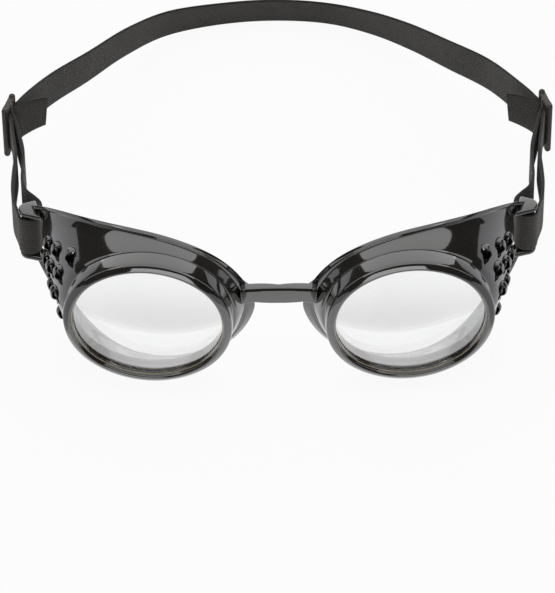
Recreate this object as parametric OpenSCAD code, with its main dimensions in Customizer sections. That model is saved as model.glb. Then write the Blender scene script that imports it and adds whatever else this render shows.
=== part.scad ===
/* [Lenses] */
// Distance from the middle of the nose to the middle of each lens
lens_x = 42.7; // [40:0.1:48]
// Half of the width of the window in a bezel
window_r = 24.6; // [23:0.1:26]
// Half of the height of the window in a bezel
window_h = 22; // [20:0.1:23.8]
// Thickness of a lens
lens_t = 2; // [1.5:0.1:3]
// How far a lens reaches under the bezel's lip
lens_lap = 1.2; // [0.8:0.1:1.6]
// Turn of each lens towards the temple, in degrees
yaw = 5; // [0:0.5:8]

/* [Bezels] */
// Width of a bezel's front, from the window to its outside
bezel_w = 3.2; // [2.9:0.1:4]
// How far a bezel stands in front of its lens
bezel_front = 2.6; // [1.8:0.1:3.5]
// How far a bezel's collar reaches behind the front of its lens
collar_depth = 5; // [4:0.1:7]
// Wall of a bezel's collar
collar_wall = 1.5; // [1.2:0.1:1.7]
// Width of the flat land on a bezel's front
land_w = 0.9; // [0.5:0.1:1.1]
// Height of the bead that a bezel snaps over
snap_h = 0.3; // [0.2:0.05:0.5]

/* [Eye cups] */
// Wall of a cup
cup_wall = 1.7; // [1.3:0.1:2.2]
// Wall of the neck that a bezel snaps over
neck_wall = 1.6; // [1.2:0.1:2]
// How far the rim's outside is from the bezel's, at the temple
temple_reach = 16.3; // [13:0.1:18]
// The same distance at the brow
brow_reach = 1.5; // [1.2:0.1:4]
// The same distance at the cheek
cheek_reach = 4; // [2.5:0.1:6]
// The same distance at the nose
nose_reach = 7.4; // [6:0.1:8]
// How far the bead along the rim stands out of the wall
bead_h = 0.8; // [0.4:0.1:1.1]
// Width of the bead along the rim
bead_w = 1.8; // [1:0.1:2.4]
// How far the rim is behind the lenses at the nose
rim_back = 10.1; // [9:0.1:12]
// How much further the rim wraps back round the cheeks
cheek_wrap = 4.2; // [2:0.1:8]
// How much further than that the rim wraps back at the temples
temple_wrap = 45.7; // [40:0.1:50]

/* [Bridge] */
// Height of the bridge's arch above the lens middles
bridge_top = 8.8; // [7:0.1:11]
// Height of the bridge's bar
bridge_h = 6.5; // [4:0.1:8]
// Thickness of the bridge from front to back
bridge_t = 4.1; // [3:0.1:5]
// How far the middle of the bridge bows forward
bridge_bow = 1.8; // [0:0.1:3]

/* [Vents] */
// Radius of a vent's mouth
vent_r = 2; // [1.7:0.1:2.3]
// Length of the pointed groove in front of a vent
groove_l = 7; // [5:0.1:8]
// Wall of the hood over a vent
hood_wall = 0.5; // [0.4:0.1:0.8]
// Length of the hood over a vent
hood_l = 5.5; // [5:0.1:6.5]
// Distance between vents round the cup
vent_pitch = 9.7; // [8:0.1:10.5]
// Distance between rows of vents from front to back
row_pitch = 9.4; // [8:0.1:10]
// How far the first row of vents is behind the lenses
vent_y = 15; // [14:0.1:16]
// Vents in the first row, each next row has one less
vent_count = 5; // [1:1:5]

/* [Strap posts] */
// Radius of a strap post
post_r = 2.6; // [2:0.1:2.8]
// How far a strap post's middle is inside the temple's tip
post_in = 3.7; // [3:0.1:4.5]
// How far a strap post's middle is in front of the rim beside it
post_ahead = 2.3; // [1.5:0.1:3.5]
// Height of the strap's middle at a post, from the lens middles
strap_z = -3.4; // [-6:0.1:0]
// Thickness of the ears that hold a post
ear_t = 1.9; // [1.5:0.1:2.4]

/* [Strap] */
// Width of the elastic
strap_w = 15; // [12:0.5:18]
// Thickness of the elastic
strap_t = 1; // [0.8:0.1:1.2]
// Height of a slider's middle, from the lens middles
slider_z = -8; // [-10:0.1:-6]
// How far a slider's middle is behind its strap post
slider_back = 62.3; // [58:0.1:66]
// How far a slider's middle is outside its strap post
slider_out = 9.7; // [8:0.1:11]
// Turn of a slider towards the back of the head, in degrees
slider_turn = 15; // [5:1:20]
// Radius of a slider's end bars
bar_r = 1.1; // [0.9:0.1:1.3]
// Radius of a slider's middle bar
mid_r = 0.7; // [0.5:0.1:0.9]
// How far a slider's middle bar lies inside its end bars
mid_in = 0.8; // [0.5:0.1:1.2]
// Thickness of a slider's top and bottom rails
rail_t = 1.4; // [1.2:0.1:2]
// How far the end bars' knobs stand out of the rails
knob_h = 0.9; // [0.6:0.1:1.5]
// Length of the strap's free end behind a slider
tail_l = 11; // [8:0.5:16]

/* [Clearances] */
// Clearance round a lens, and between a bezel and its cup
fit_gap = 0.1; // [0.05:0.05:0.2]
// Clearance of the elastic round a post
strap_gap = 0.3; // [0.2:0.05:0.5]
// Clearance of the elastic round a slider's bars, and between its layers there
weave_gap = 0.15; // [0.1:0.05:0.3]
// Clearance above and below the elastic in its slot
slot_gap = 0.6; // [0.5:0.1:1]
// Clearance under the back of the strap when the goggles lie down
rest_gap = 0.12; // [0.1:0.02:0.3]

/* [Hidden] */

black = [0.05, 0.05, 0.05];
charcoal = [0.22, 0.21, 0.21];
clear = [0.9, 0.92, 0.93, 0.4];

// A window is an oval of four arcs: two ends and two flatter sides.
end_share = 0.54;
end_r = window_h - end_share * (window_r - window_h);
end_x = window_r - end_r;
side_r = (end_x * end_x + window_h * window_h - end_r * end_r) / (2 * (window_h - end_r));
side_in = side_r - window_h;
join_angle = atan2(side_in, end_x);

bezel_r = window_r + bezel_w;
collar_bore = bezel_r - collar_wall;
lens_r = min(window_r + lens_lap, collar_bore - fit_gap);
neck_r = collar_bore - fit_gap;
neck_front = lens_t + fit_gap;
snap_w = 0.6;
snap_y = (neck_front + collar_depth) / 2;
shoulder_y = collar_depth + 2 * fit_gap;
shoulder_r = bezel_r - fit_gap;
hood_r = vent_r + hood_wall;
slot_h = strap_w + 2 * slot_gap;
post_x = bezel_r + temple_reach - post_in;
post_abs_x = lens_x + post_x;

// The rim's reach beyond the bezel swells to the temple and the nose between these directions.
temple_angle = -8;
brow_angle = 112;
nose_angle = 184;
cheek_angle = 260;
temple_bend = 2.6;
round_bend = 2.1;
tip_round = 0.05;
face_half = lens_x + bezel_r + temple_reach;
// The wall bulges behind the bezel and flares again at the rim.
bulge_share = 0.65;
bulge_bend = 0.6;
flare_bend = 8;
around = 60;
wall_steps = [0.07, 0.2, 0.38, 0.56, 0.74, 0.88];
lining_steps = [0.85, 0.55, 0.3, 0.1];

// Distance from a lens's middle, in direction a, to the oval that is r wide to each side.
function oval_at(r, a) = let (
    c = abs(cos(a)), s = abs(sin(a)),
    e = r - end_x, f = r - window_r + side_r,
    join = atan2(e * sin(join_angle), end_x + e * cos(join_angle))
  ) atan2(s, c) < join
    ? end_x * c + sqrt(e * e - pow(end_x * s, 2))
    : sqrt(f * f - pow(side_in * c, 2)) - side_in * s;

// A value that falls from one direction to the next along a bent curve.
function swell(s, bend) = pow(1 - (norm([s, tip_round]) - tip_round), bend);

function reach_between(a, high_a, high, low_a, low, bend) =
  low + (high - low) * swell((a - high_a) / (low_a - high_a), bend);

// The rim's distance outside the bezel in direction a, from -100 to 260 degrees.
function reach(a) =
  a < temple_angle
    ? reach_between(a, temple_angle, temple_reach, cheek_angle - 360, cheek_reach, round_bend)
  : a < brow_angle
    ? reach_between(a, temple_angle, temple_reach, brow_angle, brow_reach, temple_bend)
  : a < nose_angle
    ? reach_between(a, nose_angle, nose_reach, brow_angle, brow_reach, round_bend)
  : reach_between(a, nose_angle, nose_reach, cheek_angle, cheek_reach, round_bend);

// How far the rim is behind the lenses at a distance x from the nose.
function face_y(x) = rim_back + cheek_wrap * pow(x / face_half, 2)
  + temple_wrap * pow(x / face_half, 4);

post_y = face_y(post_abs_x) - post_ahead;

// A point of a lens-shaped ring, turned with the lens.
function ring_point(a, r, y) = let (p = oval_at(r, a), x = p * cos(a))
  [x * cos(yaw) - y * sin(yaw), x * sin(yaw) + y * cos(yaw), p * sin(a)];

function out(a) = [cos(a), 0, sin(a)];

function rim_point(a, inset = 0) = let (r = oval_at(bezel_r, a) + reach(a))
  [(r - inset) * cos(a), face_y(lens_x + r * cos(a)), (r - inset) * sin(a)];

// A point of the cup's outside in direction a, from the shoulder (0) to the rim (1).
function wall_point(a, t) = let (
    s = ring_point(a, shoulder_r, shoulder_y),
    w = rim_point(a, bead_h),
    g = bulge_share * pow(t, bulge_bend) + (1 - bulge_share) * pow(t, flare_bend)
  ) [s.x + (w.x - s.x) * g, s.y + (w.y - s.y) * t, s.z + (w.z - s.z) * g];

// The share of the way to the rim at which the cup is y behind the lenses.
function wall_share(a, y) = let (
    s = ring_point(a, shoulder_r, shoulder_y).y,
    w = rim_point(a).y
  ) (y - s) / (w - s);

function cup_section(a) = let (
    bead = wall_share(a, rim_point(a).y - bead_w)
  ) [
    ring_point(a, neck_r, neck_front),
    ring_point(a, neck_r, snap_y - snap_w),
    ring_point(a, neck_r + snap_h, snap_y),
    ring_point(a, neck_r, snap_y + snap_w),
    ring_point(a, neck_r, shoulder_y),
    ring_point(a, shoulder_r, shoulder_y),
    for (t = wall_steps) wall_point(a, t * bead),
    wall_point(a, bead),
    wall_point(a, bead) + bead_h * out(a),
    rim_point(a),
    rim_point(a, bead_h + cup_wall),
    for (t = lining_steps) wall_point(a, t) - cup_wall * out(a),
    ring_point(a, neck_r - neck_wall, shoulder_y + neck_wall / 2),
    ring_point(a, neck_r - neck_wall, neck_front),
  ];

// Joins closed or open rows of points, each a loop, into one solid's faces.
function loft_faces(rows, n, closed) = [
  for (i = [0 : rows - (closed ? 1 : 2)]) for (j = [0 : n - 1])
    let (a = i * n + j, b = i * n + (j + 1) % n,
      c = ((i + 1) % rows) * n + (j + 1) % n, d = ((i + 1) % rows) * n + j)
      each [[a, c, b], [a, d, c]],
  if (!closed) [for (j = [0 : n - 1]) j],
  if (!closed) [for (j = [n - 1 : -1 : 0]) (rows - 1) * n + j]
];

module cup_shell() {
  rows = [for (i = [0 : around - 1]) cup_section(-100 + i * 360 / around)];
  polyhedron([for (row = rows) each row], loft_faces(around, len(rows[0]), true), 8);
}

ear_wall = 0.9;
ear_r = post_r + ear_wall;
ear_root = [4.6, 5.2];
ear_side = 0.6;
ear_heel = [2.2, 1];
slot_room = 0.6;
slot_in = 12;
slot_l = 30;
slot_front = post_y - post_r - strap_gap - strap_t - slot_room;

// A bar along the draw direction with a round back end.
module bullet(r, l) {
  rotate([-90, 0, 0])
    rotate_extrude($fn = 32)
      polygon([[0, 0], [r, 0], for (k = [0 : 4]) [r * cos(k * 22.5), l - r + r * sin(k * 22.5)]]);
}

// A vent's axis lies in the wall, and its mouth stands behind the vent's middle.
vent_sink = 1;
mouth_back = 0.5;
bore_l = hood_l - vent_r;
tip_r = 0.25;

// Where the vents sit: [direction, distance behind the lenses].
vent_mid = -3;
vent_drift = -1.1;
vents = [
  for (row = [0 : vent_count - 1])
    let (y = vent_y + row * row_pitch, n = vent_count - row,
      step = vent_pitch / norm(wall_point(vent_mid, wall_share(vent_mid, y))) * 180 / PI)
      if (y + hood_l + mouth_back < slot_front)
        for (i = [0 : n - 1])
          [vent_mid + row * vent_drift + (i - (n - 1) / 2) * step, y]
];

module at_vents() {
  for (v = vents)
    translate(wall_point(v[0], wall_share(v[0], v[1])) - vent_sink * out(v[0]) + [0, mouth_back, 0])
      children();
}

module hoods() {
  at_vents() bullet(hood_r, hood_l);
}

module vent_bores() {
  at_vents()
    translate([0, -groove_l, 0])
      rotate([-90, 0, 0]) {
        cylinder(r1 = tip_r, r2 = vent_r, h = groove_l, $fn = 32);
        translate([0, 0, groove_l]) cylinder(r = vent_r, h = bore_l, $fn = 32);
      }
}

module ears() {
  for (side = [-1, 1])
    translate([0, 0, strap_z + side * (slot_h + ear_t) / 2])
      linear_extrude(ear_t, center = true) {
        translate([post_x, post_y]) circle(ear_r, $fn = 48);
        polygon([[post_x - ear_root[0], post_y - ear_root[1]],
          [post_x + ear_side, post_y - ear_r], [post_x + ear_side, post_y + ear_r],
          [post_x - ear_heel[0], post_y + ear_r + ear_heel[1]]]);
      }
}

module post() {
  translate([post_x, post_y, strap_z])
    cylinder(r = post_r, h = slot_h + ear_t, center = true, $fn = 48);
}

module slot() {
  translate([post_x - slot_in, slot_front, strap_z - slot_h / 2])
    cube([2 * slot_in, slot_l, slot_h]);
}

module cup() {
  difference() {
    union() {
      cup_shell();
      hoods();
      ears();
    }
    vent_bores();
    slot();
  }
  post();
}

// The bridge runs from the wall of one cup to the other's, and bites into both.
bridge_bite = 4.9;
bridge_half = lens_x - bezel_r - nose_reach + bridge_bite;
bridge_lap = 0.4;
bridge_back = face_y(bridge_half) + bridge_lap - bridge_bow / 2;
bridge_taper = 2.6;
top_sag = 2;
low_sag = 1.4;
low_in = 4.4;
low_half = bridge_half - low_in;

// An arch that is half wide on each side and drops by sag at its ends.
function arch(half, top, sag, n = 12) = let (r = (half * half + sag * sag) / (2 * sag))
  [for (i = [0 : n]) let (x = -half + 2 * half * i / n) [x, top - r + sqrt(r * r - x * x)]];

module bridge() {
  low = arch(low_half, bridge_top - bridge_h, low_sag);
  end_z = bridge_top - bridge_h - low_sag;
  high = arch(bridge_half, bridge_top, top_sag);
  front = arch(bridge_half, bridge_bow, bridge_bow);
  back = arch(bridge_half - bridge_taper, bridge_bow, bridge_bow);
  intersection() {
    translate([0, bridge_back + bridge_bow, 0]) rotate([90, 0, 0])
      linear_extrude(bridge_t + 2 * bridge_bow)
        polygon([for (p = high) p, [bridge_half, end_z], for (p = reversed(low)) p,
          [-bridge_half, end_z]]);
    translate([0, bridge_back + bridge_bow, bridge_top - 2 * bridge_h])
      linear_extrude(3 * bridge_h)
        polygon([for (p = front) [p.x, -bridge_t - p.y], for (p = reversed(back)) [p.x, -p.y]]);
  }
}

// The bezel's section, as [half width, distance behind the lens's front].
land_r = window_r + 1;
edge_round = 1.2;
// The lip's inner edge, as [outside the window, behind the front].
lip_edge = [[0, 1.5], [0.25, 0.75], [0.6, 0.2]];
bezel_around = 72;
bezel_section = [
  [window_r, 0],
  for (p = lip_edge) [window_r + p[0], p[1] - bezel_front],
  [land_r, -bezel_front],
  [land_r + land_w, -bezel_front],
  for (k = [3 : -1 : 0])
    [bezel_r - edge_round + edge_round * cos(k * 22.5),
      edge_round - bezel_front - edge_round * sin(k * 22.5)],
  [bezel_r, collar_depth],
  [collar_bore, collar_depth],
  [collar_bore, snap_y + snap_w + fit_gap],
  [collar_bore + snap_h, snap_y],
  [collar_bore, snap_y - snap_w - fit_gap],
  [collar_bore, 0]
];

module bezel() {
  rows = [for (i = [0 : bezel_around - 1])
    [for (p = bezel_section) ring_point(i * 360 / bezel_around, p[0], p[1])]];
  translate([lens_x, 0, 0])
    polyhedron([for (row = rows) each row], loft_faces(bezel_around, len(rows[0]), true), 8);
}

module lens() {
  translate([lens_x, 0, 0]) rotate([90, 0, yaw]) translate([0, 0, -lens_t])
    linear_extrude(lens_t)
      polygon([for (a = [0 : 3 : 357]) oval_at(lens_r, a) * [cos(a), sin(a)]]);
}

// The elastic's route on one side. Each point is [outward, back] from the post's middle.
loop_r = post_r + strap_gap + strap_t / 2;
bar_step = bar_r + mid_r + 2 * strap_t + 3 * weave_gap + 0.02;
bar_pitch = sqrt(bar_step * bar_step - mid_in * mid_in);

function in_slider(x, y) = [
  slider_out + x * cos(slider_turn) - y * sin(slider_turn),
  slider_back + x * sin(slider_turn) + y * cos(slider_turn)
];

// Layer 0 is the outer one. Both pass inside the end bars and outside the middle bar.
function end_bend(layer) = bar_r + weave_gap + strap_t / 2 + layer * (strap_t + weave_gap);
function mid_bend(layer) = mid_r + weave_gap + strap_t / 2 + (1 - layer) * (strap_t + weave_gap);
bend_end = 90 + atan2(mid_in, bar_pitch) + acos((end_bend(0) + mid_bend(0)) / bar_step);
bend_steps = 3;
// How far the strip is turned from the slider's length where it meets and leaves the end bars.
front_lead = [slider_turn + 9, slider_turn + 15];
back_lead = [6, 34];
function end_turn(layer, side) = [for (k = [0 : bend_steps])
  let (
    from = 180 - (side > 0 ? back_lead : front_lead)[layer],
    a = from + (bend_end - from) * k / bend_steps, r = end_bend(layer)
  ) in_slider(r * cos(a), side * (bar_pitch - r * sin(a)))];
function mid_turn(layer, side) = [for (k = [-bend_steps : bend_steps])
  let (a = (180 - bend_end) * k / bend_steps, r = mid_bend(layer))
    in_slider(r * cos(a) - mid_in, -side * r * sin(a))];
function reversed(p) = [for (i = [len(p) - 1 : -1 : 0]) p[i]];
// From the end bar at the back (side 1) or the front (side -1), over the middle, to the other.
function weave(layer, side) = concat(
  end_turn(layer, side), mid_turn(layer, side), reversed(end_turn(layer, -side)));

outer_run = [[7.7, 49.5], [6.2, 36.5], [6.4, 24.5], [6.3, 15.3], [5.5, 8]];
inner_run = [[-3.3, 7], [-1.2, 10.3], [1.5, 13.9], [3, 19], [3.4, 27], [3.6, 37.5], [5.7, 49.5]];
around_post = [for (k = [0 : 8]) loop_r * [cos(k * 22.5), -sin(k * 22.5)]];
tail_start = end_turn(1, 1)[0];
tail_n = 5;
tail_run = [for (k = [1 : tail_n]) let (a = slider_turn + back_lead[1] + 2 * k)
  tail_start + tail_l * k / tail_n * [-sin(a), cos(a)]];
tail_lean = 14;

side_route = concat(weave(0, 1), outer_run, around_post, inner_run, weave(1, -1), tail_run);
weave_n = 4 * bend_steps + 3;
side_n = 2 * weave_n + len(outer_run) + len(around_post) + len(inner_run);

level_l = 6;
level_from = slider_back - bar_pitch - level_l;
function side_z(b) = strap_z
  + (slider_z - strap_z) * min(1, max(0, b - post_r) / (level_from - post_r));

// One side's points, as [x, y, z, lean], from the slider's back round the post to the free end.
function side_points(s) = [for (i = [0 : len(side_route) - 1])
  let (p = side_route[i], lean = -tail_lean * max(0, i - side_n + 1) / len(tail_run))
    [s * (post_abs_x + p[0]), post_y + p[1], side_z(p[1]), lean]];

// The rear band's route from the left slider to the right one, as
// [x, back from the slider's middle, share of the way down to the ground, lean].
back_route = [
  [-88.3, 7.6, 0.03, 2], [-85.7, 13, 0.1, 3], [-80.5, 22.4, 0.22, 5], [-67, 41.5, 0.5, 8],
  [-53.5, 60, 0.72, 12], [-39.5, 74, 0.92, 18], [-22, 80.9, 1, 23], [0, 83.2, 1, 24],
  [20, 80.7, 1, 24], [34, 74.3, 0.96, 20], [47.5, 63, 0.8, 14], [61, 48.5, 0.6, 9],
  [75, 32.3, 0.36, 6], [84.4, 15.2, 0.12, 3], [88.3, 7.6, 0.03, 2]
];
cup_floor = min([for (i = [0 : around - 1]) rim_point(-100 + i * 360 / around).z]);
function rest_z(lean) = cup_floor + rest_gap + strap_w / 2 * cos(lean)
  + strap_t / 2 * abs(sin(lean));
back_points = [for (p = back_route)
  [p[0], post_y + slider_back + p[1], (1 - p[2]) * slider_z + p[2] * rest_z(p[3]), p[3]]];

// The whole elastic is one strip, cut into pieces where it changes hands.
elastic = concat(reversed(side_points(-1)), back_points, side_points(1));
steps = 6;
cut_tail = tail_n;
cut_side = tail_n + side_n - 1;
cut_back = cut_side + len(back_points) + 1;
last = len(elastic) - 1;

// A smooth curve through every point, with n steps between two of them.
function gap(a, b) = norm([b.x - a.x, b.y - a.y, b[2] - a[2]]);
function slope_at(p, i) = let (
    a = p[max(i - 1, 0)], b = p[i], c = p[min(i + 1, len(p) - 1)],
    before = gap(a, b), after = gap(b, c)
  ) before == 0 ? (c - b) / after
    : after == 0 ? (b - a) / before
    : ((c - b) / after * before + (b - a) / before * after) / (before + after);
function curve_at(p, i, u) = let (
    b = p[i], c = p[i + 1], l = gap(b, c), v = 1 - u
  ) b * v * v * (1 + 2 * u) + c * u * u * (1 + 2 * v)
    + l * u * v * (v * slope_at(p, i) - u * slope_at(p, i + 1));
function smooth(p, n) = [
  for (i = [0 : len(p) - 2]) for (k = [0 : n - 1]) curve_at(p, i, k / n),
  p[len(p) - 1]
];
function direction(p, i) = let (
    d = p[min(i + 1, len(p) - 1)] - p[max(i - 1, 0)]
  ) [d.x, d.y, 0] / norm([d.x, d.y]);

// The four corners of the elastic's section at each step of a route.
function ribbon_rows(p) = [for (i = [0 : len(p) - 1])
  let (
    d = direction(p, i), lean = p[i][3], m = [p[i].x, p[i].y, p[i].z],
    side = [d.y, -d.x, 0],
    up = [side.x * sin(lean), side.y * sin(lean), cos(lean)] * strap_w / 2,
    over = [side.x * cos(lean), side.y * cos(lean), -sin(lean)] * strap_t / 2
  ) [m + up + over, m - up + over, m - up - over, m + up - over]];

strip = ribbon_rows(smooth(elastic, steps));

// The strip's piece from one of its route's points to another, in steps of so many rows.
module ribbon(from, to, stride = 1) {
  rows = [for (i = [from * steps : stride : to * steps]) strip[i]];
  polyhedron([for (row = rows) each row], loft_faces(len(rows), 4, false), 8);
}

slot_in_slider = strap_w / 2 + slot_gap;
slider_h = 2 * (slot_in_slider + rail_t + knob_h);

// A bar along z with round ends.
module rod(r, l) {
  rotate_extrude($fn = 40)
    polygon([
      [0, -l / 2],
      for (k = [-4 : 0]) [r * cos(k * 22.5), r - l / 2 + r * sin(k * 22.5)],
      for (k = [0 : 4]) [r * cos(k * 22.5), l / 2 - r + r * sin(k * 22.5)]
    ]);
}

// A slider round the origin: its end bars stand on x = 0, and the strap weaves round all three.
module slider_shape() {
  for (e = [-1, 1])
    translate([0, e * bar_pitch, 0]) rod(bar_r, slider_h);
  translate([-mid_in, 0, 0])
    cylinder(r = mid_r, h = 2 * slot_in_slider + rail_t, center = true, $fn = 40);
  for (e = [-1, 1])
    translate([0, 0, e * (slot_in_slider + rail_t / 2)])
      linear_extrude(rail_t, center = true) {
        square([2 * bar_r, 2 * bar_pitch], center = true);
        for (f = [-1, 1]) translate([0, f * bar_pitch]) circle(bar_r, $fn = 40);
        translate([-mid_in, 0]) circle(mid_r, $fn = 40);
      }
}

module slider(s) {
  mirror([s < 0 ? 1 : 0, 0, 0])
    translate([post_abs_x + slider_out, post_y + slider_back, slider_z])
      rotate(slider_turn) slider_shape();
}

// The model stands on its lowest points, in the middle of its length.
front_y = -max([for (p = bezel_section) p[0] * sin(yaw) - p[1] * cos(yaw)]);
back_y = max([for (row = strip) each [for (c = row) c.y]]);
module placed() {
  translate([0, -(front_y + back_y) / 2, -cup_floor]) children();
}

module frame() {
  color(black) placed() {
    cup_right();
    mirror([1, 0, 0]) cup_right();
    bridge();
  }
}

module cup_right() {
  translate([lens_x, 0, 0]) cup();
}

module bezel_right() {
  color(black) placed() bezel();
}

module bezel_left() {
  color(black) placed() mirror([1, 0, 0]) bezel();
}

module lens_right() {
  color(clear) placed() lens();
}

module lens_left() {
  color(clear) placed() mirror([1, 0, 0]) lens();
}

module strap_back() {
  color(charcoal) placed() ribbon(cut_side, cut_back);
}

module strap_side_right() {
  color(charcoal) placed() ribbon(cut_back, last - cut_tail, 2);
}

module strap_side_left() {
  color(charcoal) placed() ribbon(cut_tail, cut_side, 2);
}

module strap_tail_right() {
  color(charcoal) placed() ribbon(last - cut_tail, last);
}

module strap_tail_left() {
  color(charcoal) placed() ribbon(0, cut_tail);
}

module slider_right() {
  color(black) placed() slider(1);
}

module slider_left() {
  color(black) placed() slider(-1);
}

frame();
bezel_left();
bezel_right();
lens_left();
lens_right();
strap_back();
strap_side_left();
strap_side_right();
strap_tail_left();
strap_tail_right();
slider_left();
slider_right();
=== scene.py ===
import math

import bpy
import numpy as np
from bpy.props import FloatProperty, FloatVectorProperty, IntProperty, PointerProperty
from mathutils import Matrix, Vector


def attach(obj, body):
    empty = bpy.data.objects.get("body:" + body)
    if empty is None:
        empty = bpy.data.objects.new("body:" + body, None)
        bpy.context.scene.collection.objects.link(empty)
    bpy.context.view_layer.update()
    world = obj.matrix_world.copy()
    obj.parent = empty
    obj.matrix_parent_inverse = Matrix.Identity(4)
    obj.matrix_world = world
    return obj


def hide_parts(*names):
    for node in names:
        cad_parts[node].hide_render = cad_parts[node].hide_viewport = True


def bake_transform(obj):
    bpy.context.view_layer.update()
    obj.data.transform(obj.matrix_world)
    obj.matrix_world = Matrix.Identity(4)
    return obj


bl_info = {
    "name": "Cup goggles",
    "version": (1, 0, 0),
    "blender": (4, 5, 0),
    "location": "View3D > Sidebar > Goggles",
    "description": "Round-lensed goggles with vented eye cups and an adjustable elastic strap",
    "category": "Object",
}

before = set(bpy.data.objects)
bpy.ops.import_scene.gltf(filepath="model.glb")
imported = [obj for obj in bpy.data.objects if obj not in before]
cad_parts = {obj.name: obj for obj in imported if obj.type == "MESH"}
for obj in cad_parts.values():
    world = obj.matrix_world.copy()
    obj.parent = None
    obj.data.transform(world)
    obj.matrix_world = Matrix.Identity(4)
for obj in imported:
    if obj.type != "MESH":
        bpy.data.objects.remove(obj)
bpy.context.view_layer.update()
MM = 0.001

# From the point between the lens middles, where the part's source starts, to the shared frame.
SHIFT = np.array([0.0, -0.0970747, 0.0295864])


def length(name, about, default, low, high):
    return FloatProperty(
        name=name, description=about, default=default * MM, min=low * MM, max=high * MM,
        subtype="DISTANCE", unit="LENGTH", precision=4,
    )


def colour(name, about, default):
    return FloatVectorProperty(
        name=name, description=about, default=default, min=0.0, max=1.0, size=3, subtype="COLOR"
    )


class MouldingSizes(bpy.types.PropertyGroup):
    """Sizes of the cups, bezels and lenses"""

    lens_x: length("Lens distance", "From the middle of the nose to a lens's middle", 42.7, 40, 48)
    window_r: length("Window half width", "Half of the width of a window", 24.6, 23, 26)
    window_h: length("Window half height", "Half of the height of a window", 22.0, 20, 23.8)
    bezel_w: length("Bezel width", "From the window to the bezel's outside", 3.2, 2.9, 4)
    bezel_front: length("Bezel front", "How far a bezel is in front of its lens", 2.6, 1.8, 3.5)
    collar_depth: length("Collar depth", "How far a collar is behind the lens's front", 5, 4, 7)
    collar_wall: length("Collar wall", "Wall of a bezel's collar", 1.5, 1.2, 1.7)
    cup_wall: length("Cup wall", "Wall of a cup", 1.7, 1.3, 2.2)
    bead_h: length("Bead height", "How far the rim's bead stands out of the wall", 0.8, 0.4, 1.1)
    bead_w: length("Bead width", "Width of the rim's bead", 1.8, 1, 2.4)
    lens_t: length("Lens thickness", "Thickness of a lens", 2.0, 1.5, 3)
    yaw: FloatProperty(
        name="Lens turn", description="Turn of each lens towards the temple",
        default=math.radians(5), min=0, max=math.radians(8), subtype="ANGLE", unit="ROTATION",
    )
    around: IntProperty(
        name="Steps round a cup", description="Points round each ring of a cup", default=256,
        min=64, max=512,
    )


class VentSizes(bpy.types.PropertyGroup):
    """Sizes of the hooded vents"""

    mouth_r: length("Mouth radius", "Radius of a vent's mouth", 2.35, 1.7, 2.6)
    groove_l: length("Groove length", "Length of the pointed groove in front", 5.2, 3, 8)
    hood_wall: length("Hood wall", "Wall of the hood", 0.35, 0.3, 0.9)
    hood_l: length("Hood length", "Length of the hood", 3.9, 3, 6.5)
    rise: length("Hood rise", "How far a hood stands out of the cup", 1.75, 0.8, 2.2)
    sink: length("Vent sink", "How deep a vent's axis lies in the wall", 0.7, 0, 1.2)
    pitch: length("Vent pitch", "Distance between vents round the cup", 9.7, 8, 10.5)
    row_pitch: length("Row pitch", "Distance between the rows of vents", 9.4, 8, 10)
    first_row: length("First row", "How far the first row is behind the lens", 15, 14, 16)
    count: IntProperty(
        name="Vents in the first row", description="Each next row has one less", default=5,
        min=1, max=5,
    )


class StrapSizes(bpy.types.PropertyGroup):
    """Sizes of the elastic"""

    width: length("Elastic width", "Width of the elastic", 15, 12, 18)
    thickness: length("Elastic thickness", "Thickness of the elastic", 1, 0.8, 1.2)
    rib_pitch: length("Rib pitch", "Distance between the ribs along the elastic", 0.85, 0.5, 2)
    weft_pitch: length("Weft pitch", "Distance between the threads across the ribs", 0.6, 0.3, 1)


class Finishes(bpy.types.PropertyGroup):
    """Colours of the pieces and of the floor"""

    moulding: colour("Moulding", "Colour of the glossy moulding", (0.013, 0.0115, 0.009))
    dust: colour("Dust", "Colour of fine dust on the gloss", (0.32, 0.31, 0.30))
    lens: colour("Lens tint", "Tint of the clear lenses", (0.955, 0.96, 0.958))
    elastic: colour("Elastic", "Colour of the woven elastic", (0.012, 0.0103, 0.008))
    # The colour of the painted highlight on the elastic's thread crests.
    elastic_crest_highlight: colour("Elastic crest highlight", "Colour of the threads' crests", (0.135, 0.123, 0.105))
    slider: colour("Slider", "Colour of the sliders", (0.050, 0.040, 0.034))
    floor: colour("Floor", "Colour of the floor and backdrop", (0.95, 0.95, 0.95))


# ---------- shader expressions


class Value:
    """A node's output that takes part in Python arithmetic."""

    def __init__(self, graph, socket):
        self.graph = graph
        self.socket = socket

    def math(self, operation, *others, clamp=False):
        return self.graph.node(
            "ShaderNodeMath", {"operation": operation, "use_clamp": clamp}, self, *others
        )

    def __add__(self, other):
        return self.math("ADD", other)

    __radd__ = __add__

    def __mul__(self, other):
        return self.math("MULTIPLY", other)

    __rmul__ = __mul__

    def __sub__(self, other):
        return self.math("SUBTRACT", other)

    def __rsub__(self, other):
        return self.graph.node("ShaderNodeMath", {"operation": "SUBTRACT"}, other, self)

    def __truediv__(self, other):
        return self.math("DIVIDE", other)

    def __pow__(self, other):
        return self.math("POWER", other)

    def clamp(self):
        return self.math("ADD", 0.0, clamp=True)

    def rise(self, low, high):
        """0 below low, 1 above high, smooth between."""
        return self.graph.node(
            "ShaderNodeMapRange", {"interpolation_type": "SMOOTHSTEP"}, self, low, high, 0.0, 1.0
        )

    def part(self, name):
        return Value(self.graph, self.socket.node.outputs[name])


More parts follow.
